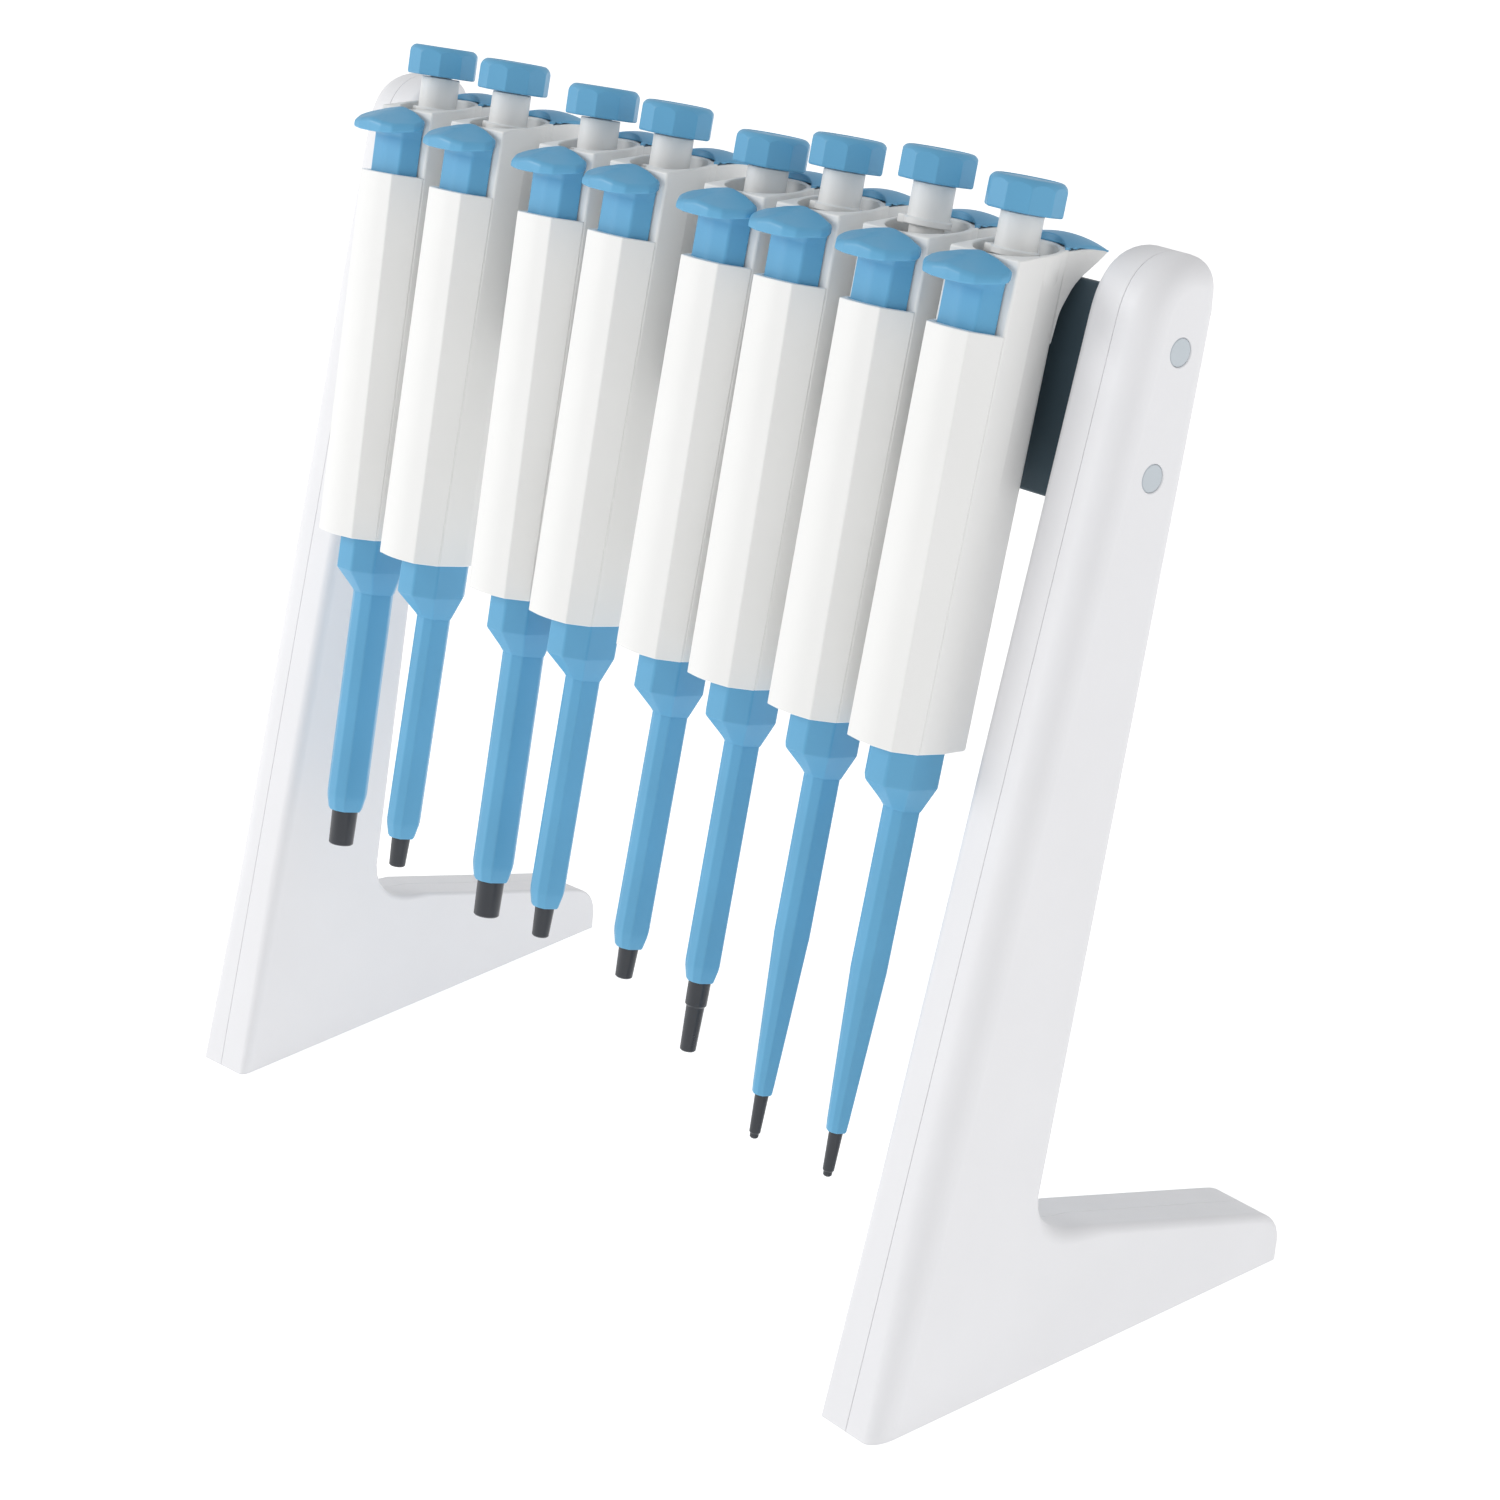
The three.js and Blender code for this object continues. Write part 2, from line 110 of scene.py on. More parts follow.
# ---- rack dimensions, in millimetres ------------------------------------------------------
RACK_WIDTH = 290
LEG_THICKNESS = 20.8
LEG_HEIGHT = 290
LEG_SEAM = 0.1           # width of the parting line between a leg's two shells
INNER_ROUND = 0.45       # the inner face's edges are rounded by this share of the outer face's
TOE_OUT = math.radians(3.7)
FOOT_LENGTH = 150
LEAN = math.radians(13.1)
AXIS_Y, AXIS_Z = 68.5, 270.7
RAIL_MIDDLE = 18.2       # from the pipettes' axes back to the middle of the rail
PLUG_HEIGHTS = (2, -28.5)
PLUG_RADIUS = 3.5


# ---- outlines and rings -------------------------------------------------------------------
def mirrored(half):
    """Both halves of an outline given from the front centre round the right side to the rear."""
    return half + [(-x, *rest) for x, *rest in reversed(half) if x > 0]


def rounded(corners, steps=4):
    """The outline through corners (x, y, radius), each rounded by an arc of that radius."""
    points = []
    for k, (x, y, radius) in enumerate(corners):
        corner = Vector((x, y, 0))
        before = Vector((*corners[k - 1][:2], 0)) - corner
        after = Vector((*corners[(k + 1) % len(corners)][:2], 0)) - corner
        half_angle = before.angle(after) / 2
        reach = min(radius / math.tan(half_angle), 0.49 * before.length, 0.49 * after.length)
        radius = reach * math.tan(half_angle)
        before.normalize()
        after.normalize()
        middle = corner + (before + after).normalized() * radius / math.sin(half_angle)
        first = corner + before * reach - middle
        last = corner + after * reach - middle
        turns = [first.slerp(last, step / steps).normalized() for step in range(steps + 1)]
        points += [(middle + turn * radius).to_2d()[:] for turn in turns]
    return points


def inset(points, distances):
    """The outline with each edge moved in by its own distance; a single number moves them all."""
    count = len(points)
    if not hasattr(distances, "__len__"):
        distances = [distances] * count
    normals = []
    for k in range(count):
        along = Vector(points[(k + 1) % count]) - Vector(points[k])
        normals.append(Vector((-along.y, along.x)).normalized())
    moved = []
    for k, point in enumerate(points):
        one, two = normals[k - 1], normals[k]
        near, far = distances[k - 1], distances[k]
        cross = one.x * two.y - one.y * two.x
        if abs(cross) < 0.02:
            step = (one + two).normalized() * (near + far) / 2
        else:
            step = Vector(((near * two.y - far * one.y) / cross, (far * one.x - near * two.x) / cross))
        moved.append((point[0] + step.x, point[1] + step.y))
    return moved


def stack(outline, profile, slope=0.0):
    """Rings of the outline, one for each (inset, height) of the profile, rising with y by slope."""
    return [[(x, y, z + slope * y) for x, y in inset(outline, distance)] for distance, z in profile]


def circle(radius, z, segments=SEGMENTS):
    angles = [2 * math.pi * k / segments for k in range(segments)]
    return [(radius * math.cos(angle), radius * math.sin(angle), z) for angle in angles]


def arc(radius, start, end, steps=5):
    """Offsets (across, up) along a quarter round of that radius, from start to end in degrees."""
    angles = [math.radians(start + (end - start) * k / steps) for k in range(steps + 1)]
    return [(radius * math.cos(angle), radius * math.sin(angle)) for angle in angles]


# ---- meshes -------------------------------------------------------------------------------
def loft(rings, ring_shaped=False):
    """A closed mesh through rings with equal numbers of points, in metres. Its ends are capped, or joined
    to each other if the piece is ring-shaped."""
    form = bmesh.new()
    loops = [[form.verts.new(Vector(point) * MM) for point in ring] for ring in rings]
    pairs = list(zip(loops, loops[1:]))
    if ring_shaped:
        pairs.append((loops[-1], loops[0]))
    for low, high in pairs:
        for k in range(len(low)):
            form.faces.new((low[k - 1], low[k], high[k], high[k - 1]))
    if not ring_shaped:
        form.faces.new(reversed(loops[0]))
        form.faces.new(loops[-1])
    bmesh.ops.recalc_face_normals(form, faces=form.faces)
    mesh = bpy.data.meshes.new("mesh")
    form.to_mesh(mesh)
    form.free()
    return mesh


def turned(profile, segments=SEGMENTS):
    return loft([circle(radius, z, segments) for radius, z in profile])


def bore(radius, bottom, top):
    return turned([(radius, bottom), (radius, top)])


def prism(outline, bottom, top, edge=0.0):
    """An upright prism with a small round on its top and bottom edges."""
    if not edge:
        return loft(stack(outline, [(0, bottom), (0, top)]))
    low = [(edge - across, bottom + edge - up) for across, up in arc(edge, 90, 0, 3)]
    high = [(edge - across, top - edge + up) for across, up in arc(edge, 0, 90, 3)]
    return loft(stack(outline, low + high))


def box_outline(half_width, front, rear, radius=0.4):
    return rounded(mirrored([(half_width, front, radius), (half_width, rear, radius)]), 3)


def across(outline, half_width, edge):
    """A prism lying across x, from an outline in y, z, with rounded side edges."""
    low = [(edge - out, -half_width + edge - up) for out, up in arc(edge, 90, 0, 3)]
    high = [(edge - out, half_width - edge + up) for out, up in arc(edge, 0, 90, 3)]
    rings = stack(outline, low + high)
    return loft([[(z, x, y) for x, y, z in ring] for ring in rings])


def combined(base, *steps):
    """The mesh after each (operation, mesh) in turn."""
    collection = bpy.context.scene.collection
    work = bpy.data.objects.new("work", base)
    collection.objects.link(work)
    tools = []
    for operation, mesh in steps:
        tool = bpy.data.objects.new("tool", mesh)
        collection.objects.link(tool)
        tools.append(tool)
        modifier = work.modifiers.new("join", "BOOLEAN")
        modifier.operation = operation
        modifier.solver = "MANIFOLD"
        modifier.object = tool
    depsgraph = bpy.context.evaluated_depsgraph_get()
    result = bpy.data.meshes.new_from_object(work.evaluated_get(depsgraph))
    result.materials.clear()
    for used in [work, *tools]:
        bpy.data.objects.remove(used)
    return result


def piece(name, mesh, material, body, place, replaced=(), sharp=30):
    """One object of the model: smooth over its rounds, riding on its body, standing for its CAD nodes."""
    if not mesh.materials:
        mesh.materials.append(material)
        mesh.polygons.foreach_set("use_smooth", [True] * len(mesh.polygons))
        mesh.set_sharp_from_angle(angle=math.radians(sharp))
    thing = bpy.data.objects.new(name, mesh)
    bpy.context.scene.collection.objects.link(thing)
    thing.matrix_world = place
    normals = thing.modifiers.new("normals", "WEIGHTED_NORMAL")
    normals.keep_sharp = True
    normals.weight = 90
    bpy.context.view_layer.update()
    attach(thing, body)
    if replaced:
        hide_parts(*replaced)
    return thing


# ---- materials ----------------------------------------------------------------------------
def moulded(name, color, roughness, grain=0.0006, bump=0.06, change=0.03, coat=0.0):
    """Moulded plastic or coated metal, with a fine grain and a faint drift of colour."""
    material = bpy.data.materials.new(name)
    material.use_nodes = True
    nodes, links = material.node_tree.nodes, material.node_tree.links
    shader = nodes["Principled BSDF"]
    shader.inputs["Coat Weight"].default_value = coat
    shader.inputs["Coat Roughness"].default_value = 0.2
    where = nodes.new("ShaderNodeTexCoord")

    def noise(scale, detail):
        texture = nodes.new("ShaderNodeTexNoise")
        texture.inputs["Scale"].default_value = scale
        texture.inputs["Detail"].default_value = detail
        links.new(where.outputs["Object"], texture.inputs["Vector"])
        return texture.outputs["Fac"]

    def spread(source, low, high):
        span = nodes.new("ShaderNodeMapRange")
        span.inputs["From Min"].default_value = 0.3
        span.inputs["From Max"].default_value = 0.7
        span.inputs["To Min"].default_value = low
        span.inputs["To Max"].default_value = high
        links.new(source, span.inputs["Value"])
        return span.outputs["Result"]

    mix = nodes.new("ShaderNodeMix")
    mix.data_type = "RGBA"
    mix.inputs["A"].default_value = (*(channel * (1 - change) for channel in color), 1)
    mix.inputs["B"].default_value = (*(min(1, channel * (1 + change)) for channel in color), 1)
    links.new(spread(noise(35, 3), 0, 1), mix.inputs["Factor"])
    links.new(mix.outputs["Result"], shader.inputs["Base Color"])
    links.new(spread(noise(180, 4), roughness - 0.05, roughness + 0.05), shader.inputs["Roughness"])
    relief = nodes.new("ShaderNodeBump")
    relief.inputs["Strength"].default_value = bump
    relief.inputs["Distance"].default_value = 0.0002
    links.new(noise(1 / grain, 2), relief.inputs["Height"])
    links.new(relief.outputs["Normal"], shader.inputs["Normal"])
    return material


WHITE = moulded("white_plastic", (0.83, 0.83, 0.82), 0.38, change=0.01)
BLUE = moulded("blue_plastic", (0.11, 0.37, 0.60), 0.42, change=0.04)
LEG_WHITE = moulded("leg_plastic", (0.79, 0.79, 0.81), 0.5, grain=0.0009, bump=0.1, change=0.01)
SLATE = moulded("rail_paint", (0.055, 0.09, 0.115), 0.5, grain=0.0012, bump=0.25, change=0.08)
PLUG_GREY = moulded("plug_plastic", (0.52, 0.57, 0.61), 0.45, change=0.03)
CONE_BLACK = moulded("black_plastic", (0.03, 0.034, 0.042), 0.32, change=0.1, bump=0.04)


# ---- handle -------------------------------------------------------------------------------
BODY_HALF = [(11.3, -10.9, 0.7), (11.4, -1.6, 1.5), (9.4, 9.6, 3)]
BODY_EDGE = 0.5
COVER_TOP_HALF = [(0, -20.5, 22), (6.9, -18.8, 0.8), (11.25, -11.05, 0.5), (10.2, -9.2, 0.5)]
COVER_END_HALF = [(0, -18.8, 24), (7.6, -17.0, 0.8), (11.25, -11.05, 0.5), (10.2, -9.2, 0.5)]
SLOT_HALF = [(2.2, -17.3, 1), (6.5, -16.4, 1), (9, -11.9, 0.4), (9, -8, 0.2)]
COLUMN_HALF = [(0, -17.1, 9), (6.1, -16, 1.2), (8.6, -11.6, 0.2), (8.6, -11.3, 0.1)]
ROD_SPACE = {"half_width": 3.4, "front": -12.6, "rear": -9.4}
ROD = {"half_width": 3, "front": -12.2, "rear": -9.8}


def well_cutter():
    """The space of the well, with a small round on its mouth that follows the sloping rim."""
    lip = 0.45
    mouth = [(WELL_RADIUS + lip - out, RIM - lip + up) for out, up in arc(lip, 0, 90, 4)]
    rings = [circle(WELL_FOOT_RADIUS - 0.3, WELL_FLOOR), circle(WELL_FOOT_RADIUS, WELL_FLOOR + 0.3),
             circle(WELL_FOOT_RADIUS, 6), circle(WELL_RADIUS, 8.5), circle(WELL_RADIUS, RIM - 6)]
    rings += [[(x, y, z + RIM_SLOPE * y) for x, y, z in circle(radius, height)] for radius, height in mouth]
    rings += [circle(WELL_RADIUS + lip, RIM + 15)]
    return loft(rings)


def hook_web():
    """The white web that carries the finger hook, with its fillet into the back of the handle."""
    outline = rounded([(8.9, -3, 0.4), (9.75, 5, 10), (13.3, 12.2, 14), (20.5, 17.9, 10), (23.7, 20.8, 0.4),
                       (17.9, 21.0, 6), (10.4, 19.9, 0.6), (8, 19.4, 0.6), (6, -3, 0.4)])
    return across(outline, HOOK_HALF_WIDTH - 0.1, 0.3)


def handle_body(spec):
    outline = rounded(mirrored(BODY_HALF), 5)
    top_round = [(BODY_EDGE - out, RIM - BODY_EDGE + up) for out, up in arc(BODY_EDGE, 0, 90, 4)]
    low_round = [(BODY_EDGE - out, HANDLE_BOTTOM + BODY_EDGE - up) for out, up in arc(BODY_EDGE, 90, 0, 3)]
    low = stack(outline, low_round)
    high = stack(outline, top_round, RIM_SLOPE)
    tube = [circle(RIM_RADIUS - 1.6, 2), circle(RIM_RADIUS, RIM - 6)]
    tube += [[(x, y, z + RIM_SLOPE * y) for x, y, z in circle(RIM_RADIUS - distance, height)]
             for distance, height in top_round]
    tube = combined(loft(tube), ("DIFFERENCE", prism(box_outline(30, -40, -10.9, 0.1), -20, 40)))
    bore_floor = SHAFT_BOTTOM - PRESS_TRAVEL - 2
    seat = spec["radius"] - WALL + CLEARANCE
    return combined(
        loft(low + high),
        ("UNION", tube),
        ("UNION", hook_web()),
        ("DIFFERENCE", well_cutter()),
        ("DIFFERENCE", bore(SHAFT_RADIUS + CLEARANCE, bore_floor, WELL_FLOOR + 1)),
        ("DIFFERENCE", bore(ROD_RADIUS + CLEARANCE, ROD_BOTTOM - PRESS_TRAVEL - 2, bore_floor + 1)),
        ("DIFFERENCE", prism(box_outline(**ROD_SPACE), HANDLE_BOTTOM - 1, -9)),
        ("DIFFERENCE", bore(seat, HANDLE_BOTTOM - 1, HANDLE_BOTTOM + 8)))


def handle_cover():
    """The front cover, with a bowed front, open at the top where the ejector's column goes in."""
    top = rounded(mirrored(COVER_TOP_HALF), 6)
    end = rounded(mirrored(COVER_END_HALF), 6)
    edge = 0.3
    low = [(edge - out, HANDLE_BOTTOM + edge - up) for out, up in arc(edge, 90, 0, 3)]
    high = [(edge - out, COVER_TOP - edge + up) for out, up in arc(edge, 0, 90, 3)]
    shell = loft(stack(end, low) + stack(top, high))
    slot = prism(rounded(mirrored(SLOT_HALF), 4), COLUMN_BOTTOM - EJECT_TRAVEL - 1, 5)
    behind = prism(box_outline(30, -10.85, 0, 0.1), HANDLE_BOTTOM - 5, 5)
    rod_space = prism(box_outline(**ROD_SPACE), HANDLE_BOTTOM - 5, COLUMN_BOTTOM)
    return combined(shell, ("DIFFERENCE", slot), ("DIFFERENCE", behind), ("DIFFERENCE", rod_space))


def hook_pad():
    """The soft blue pad on the finger hook: crowned, with a concave front edge round the well."""
    columns, rows = 20, 12
    rear, seat, edge = 24.0, 20.55, 0.55

    def top_height(x, y):
        fall = 0.07 * (y - 17) ** 2 * (0.35 if y < 17 else 0.3)
        return 23.25 - fall - 1.75 * (x / HOOK_HALF_WIDTH) ** 2

    def point(u, v):
        x = u * HOOK_HALF_WIDTH
        front = math.sqrt(PAD_FRONT_RADIUS ** 2 - x ** 2)
        corner = 1.2 * max(0, abs(u) - 0.75) ** 2 * 16 * 0.6
        return x, front + (rear - corner - front) * v

    form = bmesh.new()
    grid = [[point(2 * c / columns - 1, r / rows) for c in range(columns + 1)] for r in range(rows + 1)]
    top = [[form.verts.new(Vector((x, y, top_height(x, y))) * MM) for x, y in line] for line in grid]
    low = [[form.verts.new(Vector((x, y, seat)) * MM) for x, y in line] for line in grid]
    for r in range(rows):
        for c in range(columns):
            form.faces.new((top[r][c], top[r][c + 1], top[r + 1][c + 1], top[r + 1][c]))
            form.faces.new((low[r][c], low[r + 1][c], low[r + 1][c + 1], low[r][c + 1]))
    for r in range(rows):
        form.faces.new((top[r][0], top[r + 1][0], low[r + 1][0], low[r][0]))
        form.faces.new((top[r][-1], low[r][-1], low[r + 1][-1], top[r + 1][-1]))
    for c in range(columns):
        form.faces.new((top[0][c], low[0][c], low[0][c + 1], top[0][c + 1]))
        form.faces.new((top[-1][c], top[-1][c + 1], low[-1][c + 1], low[-1][c]))
    bmesh.ops.recalc_face_normals(form, faces=form.faces)
    form.normal_update()
    edges = [e for e in form.edges if e.calc_face_angle(0) > math.radians(40)]
    bmesh.ops.bevel(form, geom=edges, offset=edge * MM * 0.6, segments=3, profile=0.5, affect="EDGES")
    mesh = bpy.data.meshes.new("hook_pad")
    form.to_mesh(mesh)
    form.free()
    return mesh


# ---- plunger and knob ---------------------------------------------------------------------
def plunger(lift):
    top = KNOB_BASE + lift - CLEARANCE
    flange = FLANGE_BASE + lift
    return turned([
        (ROD_RADIUS - 0.3, ROD_BOTTOM), (ROD_RADIUS, ROD_BOTTOM + 0.3), (ROD_RADIUS, SHAFT_BOTTOM),
        (SHAFT_RADIUS, SHAFT_BOTTOM + 0.3), (SHAFT_RADIUS, flange), (FLANGE_RADIUS - 0.2, flange),
        (FLANGE_RADIUS, flange + 0.2), (FLANGE_RADIUS, flange + FLANGE_HEIGHT - 0.35),
        (FLANGE_RADIUS - 0.35, flange + FLANGE_HEIGHT), (STEM_RADIUS + 0.1, flange + FLANGE_HEIGHT),
        (STEM_RADIUS, flange + FLANGE_HEIGHT + 0.15), (STEM_RADIUS, top - 0.2), (STEM_RADIUS - 0.2, top),
        (SPIGOT_RADIUS, top), (SPIGOT_RADIUS, top + 3.4), (SPIGOT_RADIUS - 0.2, top + 3.6)])


def volume_stop(lift):
    """The small rounded lug that stands out from the flange of the stem."""
    outline = rounded([(-8.6, -2.2, 0.9), (-5.6, -2.2, 0.6), (-5.6, 2.2, 0.6), (-8.6, 2.2, 0.9)], 4)
    return prism(outline, FLANGE_BASE + lift - 0.5, FLANGE_BASE + lift + 1.8, 0.4)


def volume_knob(lift, turn):
    """A ten-sided knob whose rounded shoulder scallops the tops of its sides."""
    base = KNOB_BASE + lift
    top = base + KNOB_HEIGHT
    start = math.radians(turn)
    corners = [(KNOB_RADIUS * math.cos(start + 2 * math.pi * k / KNOB_SIDES),
                KNOB_RADIUS * math.sin(start + 2 * math.pi * k / KNOB_SIDES), 0.6) for k in range(KNOB_SIDES)]
    edges = [(0.5, base), (0.15, base + 0.15), (0, base + 0.5), (0, top + 1)]
    sides = loft(stack(rounded(corners, 3), edges))
    flat, drop, width = 7.7, 3.2, 2.2
    shoulder = [(flat + width * math.cos(math.radians(a)), top - drop + drop * math.sin(math.radians(a)))
                for a in range(0, 91, 9)]
    dish = [(flat - 0.25, top - 0.02), (flat - 0.4, top - 0.16), (flat - 0.6, top - 0.2), (0.5, top - 0.05)]
    dome = turned([(flat + width, base - 1)] + shoulder + dish)
    return combined(sides, ("INTERSECT", dome),
                    ("DIFFERENCE", bore(SPIGOT_RADIUS + CLEARANCE, base - 1, base + 4)))


# ---- ejector ------------------------------------------------------------------------------
PAD_HALF = [(0, -23.6, 12), (4.6, -23.3, 4), (8.4, -22.1, 2), (12.6, -17.6, 1.4), (13, -15.4, 1.4),
            (11.9, -13.4, 1.4), (6, -12, 8), (0, -11.6, 20)]


def button_top(x, y):
    return 14.65 + 0.384 * (y + 17.5) - 0.22 * (math.sqrt(x * x + 6) - math.sqrt(6))


def button_low(x, y):
    return 10.2 + 0.25 * (y + 17.5)


def ejector_button():
    outline = rounded(mirrored(PAD_HALF), 5)
    big, small = 1.1, 0.7
    rings = []
    for share in (0.3, 0.7):
        ring = [(x * share, -17.5 + (y + 17.5) * share) for x, y in inset(outline, small)]
        rings.append([(x, y, button_low(x, y)) for x, y in ring])
    for out, up in arc(small, 90, 0, 4):
        rings.append([(x, y, button_low(x, y) + small - up) for x, y in inset(outline, small - out)])
    for out, up in arc(big, 0, 90, 6):
        rings.append([(x, y, button_top(x, y) - big + up) for x, y in inset(outline, big - out)])
    for share in (0.85, 0.65, 0.4, 0.15):
        ring = [(x * share, -17.5 + (y + 17.5) * share) for x, y in inset(outline, big)]
        rings.append([(x, y, button_top(x, y)) for x, y in ring])
    shaft = rounded(mirrored(COLUMN_HALF), 5)
    fillet = 3.2
    column = stack(shaft, [(0, COLUMN_BOTTOM), (0, 10.9 - fillet)])
    for k in range(1, 8):
        angle = math.pi / 2 * k / 8
        out = fillet * (1 - math.cos(angle))
        height = 10.9 - fillet + fillet * math.sin(angle)
        column.append([(x + 0.25 * (wide - x), min(y, deep), height + 0.25 * (y + 15) * k / 7)
                       for (x, y), (wide, deep) in zip(shaft, inset(shaft, -out))])
    column.append([(x, y, z + 0.6) for x, y, z in column[-1]])
    rod = prism(box_outline(**ROD), COLLAR_TOP + 0.1, COLUMN_BOTTOM + 2, 0.1)
    return combined(loft(rings), ("UNION", loft(column)), ("UNION", rod))


def ejector_sleeve(spec):
    """The octagonal collar, its taper and the sleeve, hollow for the shaft that runs through it."""
    collar = rounded(mirrored([(3.2, -12.2, 1.4), (7.8, -7.6, 1.4), (7.8, 2.8, 1.4), (3.2, 7.4, 1.4)]), 5)
    directions = [math.atan2(y, x) for x, y in collar]

    def ring(radius, z):
        return [(radius * math.cos(a), radius * math.sin(a), z) for a in directions]

    radius, end, neck = spec["radius"], spec["end"], spec["neck"]
    inner = radius - WALL + CLEARANCE + 0.1
    mouth = spec["cone"][0][0] + 0.4
    rings = stack(collar, [(0.3, COLLAR_TOP), (0, COLLAR_TOP - 0.3), (0, COLLAR_BOTTOM + 0.35),
                           (0.12, COLLAR_BOTTOM + 0.05)])
    last = inset(collar, 0.12)
    for share in (0.96, 0.5, 0.04):
        rings.append([(x * share + (radius + 0.35) * math.cos(a) * (1 - share),
                       y * share + (radius + 0.35) * math.sin(a) * (1 - share),
                       TAPER_BOTTOM + (COLLAR_BOTTOM - TAPER_BOTTOM) * share)
                      for (x, y), a in zip(last, directions)])
    rings += [ring(radius + 0.35, TAPER_BOTTOM), ring(radius + 0.2, TAPER_BOTTOM - 0.25),
              ring(radius, TAPER_BOTTOM - 0.3)]
    if neck:
        rings += [ring(radius, neck + 1.2), ring(radius - 0.08, neck), ring(spec["mouth"] + 0.2, end + 3)]
    else:
        rings += [ring(radius, end + 5), ring(radius - 0.15, end + 3.6)]
    rings += [ring(spec["mouth"], end + 0.4), ring(spec["mouth"] - 0.25, end), ring(mouth + 0.1, end),
              ring(mouth, end + 0.2)]
    if neck:
        rings += [ring(mouth, end + 3), ring(inner, neck + 2)]
    else:
        rings += [ring(mouth, end + 5), ring(inner, end + 7)]
    rings += [ring(inner, COLLAR_TOP)]
    return loft(rings, ring_shaped=True)


def tip_cone(spec):
    """The shaft inside the sleeve with the cone that takes a disposable tip."""
    end, cone = spec["end"], spec["cone"]
    shaft = spec["radius"] - WALL
    profile = [(cone[-1][0] - 0.35, end + cone[-1][1])]
    profile += [(cone[-1][0], end + cone[-1][1] + 0.35)] + [(r, end + z) for r, z in reversed(cone[:-1])]
    if spec["neck"]:
        profile += [(cone[0][0], end + 6), (shaft, spec["neck"] + 6)]
    else:
        profile += [(cone[0][0], end + 8), (shaft, end + 10)]
    return turned(profile + [(shaft, HANDLE_BOTTOM + 6.8), (shaft - 0.2, HANDLE_BOTTOM + 7)], 48)


# ---- pipettes -----------------------------------------------------------------------------
def pipette_place(number):
    joint = next(j for j in frame["joints"] if j["name"] == f"volume_turn_{number}")
    up = Vector(joint["axis"]).normalized()
    back = up.cross(Vector((1, 0, 0))).normalized()
    right = back.cross(up)
    place = Matrix((right, back, up)).transposed().to_4x4()
    place.translation = joint["pos_m"]
    return place


def build_pipettes():
    cover, pad, button = handle_cover(), hook_pad(), ejector_button()
    bodies = {kind: handle_body(spec) for kind, spec in SLEEVES.items()}
    sleeves = {kind: ejector_sleeve(spec) for kind, spec in SLEEVES.items()}
    cones = {kind: tip_cone(spec) for kind, spec in SLEEVES.items()}
    for n in PIPETTES:
        place = pipette_place(n)
        kind, lift, turn = SLEEVE_KINDS[n - 1], KNOB_LIFTS[n - 1], KNOB_TURNS[n - 1]
        whole, slide, knob, eject = f"pipette_{n}", f"plunger_{n}", f"knob_{n}", f"ejector_{n}"
        piece(f"handle_body_{n}", bodies[kind], WHITE, whole, place, [f"handle_{n}"])
        piece(f"handle_cover_{n}", cover, WHITE, whole, place)
        piece(f"hook_pad_{n}", pad, BLUE, whole, place)
        stem, cap = plunger(lift), volume_knob(lift, turn)
        piece(f"plunger_shaft_{n}", stem, WHITE, slide, place, [f"plunger_stem_{n}"])
        piece(f"volume_stop_{n}", volume_stop(lift), WHITE, slide, place)
        piece(f"knob_cap_{n}", cap, BLUE, knob, place, [f"volume_knob_{n}"], 18)
        piece(f"ejector_pusher_{n}", button, BLUE, eject, place, [f"ejector_button_{n}"])
        tube = sleeves[kind]
        piece(f"ejector_tube_{n}", tube, BLUE, eject, place, [f"ejector_sleeve_{n}"])
        piece(f"cone_shaft_{n}", cones[kind], CONE_BLACK, whole, place, [f"tip_cone_{n}"])


# ---- rack ---------------------------------------------------------------------------------
def bezier(start, control, end, steps=7):
    points = []
    for k in range(steps + 1):
        t = k / steps
        points.append(tuple((1 - t) ** 2 * a + 2 * t * (1 - t) * b + t * t * c
                            for a, b, c in zip(start, control, end)))
    return points


def front_edge(z):
    return 0.271 * z


def rear_edge(z):
    return 47 + 0.193 * z


def leg_outline():
    """The side outline of a leg in (y, z), and the radius of the long edge round that each stretch carries:
    none under the foot, small on the foot's top, larger up the front and largest over the top."""
    top = LEG_HEIGHT - 14
    foot_end = (FOOT_LENGTH - 9, 16.8)
    crown = ((rear_edge(LEG_HEIGHT) + front_edge(LEG_HEIGHT)) / 2, LEG_HEIGHT + 0.3)
    stretches = [
        ([(0, 0), (FOOT_LENGTH, 0)], 0, 0),
        ([(FOOT_LENGTH, 0)] + bezier((FOOT_LENGTH + 0.8, 6), (FOOT_LENGTH + 1, 14), foot_end), 1.5, 2.5),
        (bezier((76, 36.4), (rear_edge(40) + 1.5, 38.5), (rear_edge(52), 52)), 3.5, 4.5),
        ([(rear_edge(52), 52), (rear_edge(180), 180), (rear_edge(top), top)], 4.5, 7),
        (bezier((rear_edge(top), top), (rear_edge(LEG_HEIGHT) + 0.5, LEG_HEIGHT), crown, 10), 7, 7),
        (bezier(crown, (front_edge(LEG_HEIGHT), LEG_HEIGHT + 0.5), (front_edge(top), top), 10), 7, 7),
        ([(front_edge(top), top), (front_edge(180), 180), (front_edge(60), 60)], 7, 7.5),
    ]
    points, radii = [], []
    for line, first, last in stretches:
        for k, point in enumerate(line):
            share = k / (len(line) - 1)
            if points and math.dist(points[-1], point) < 0.01:
                radii[-1] = first
                continue
            points.append(point)
            radii.append(first + (last - first) * share)
    return points, radii


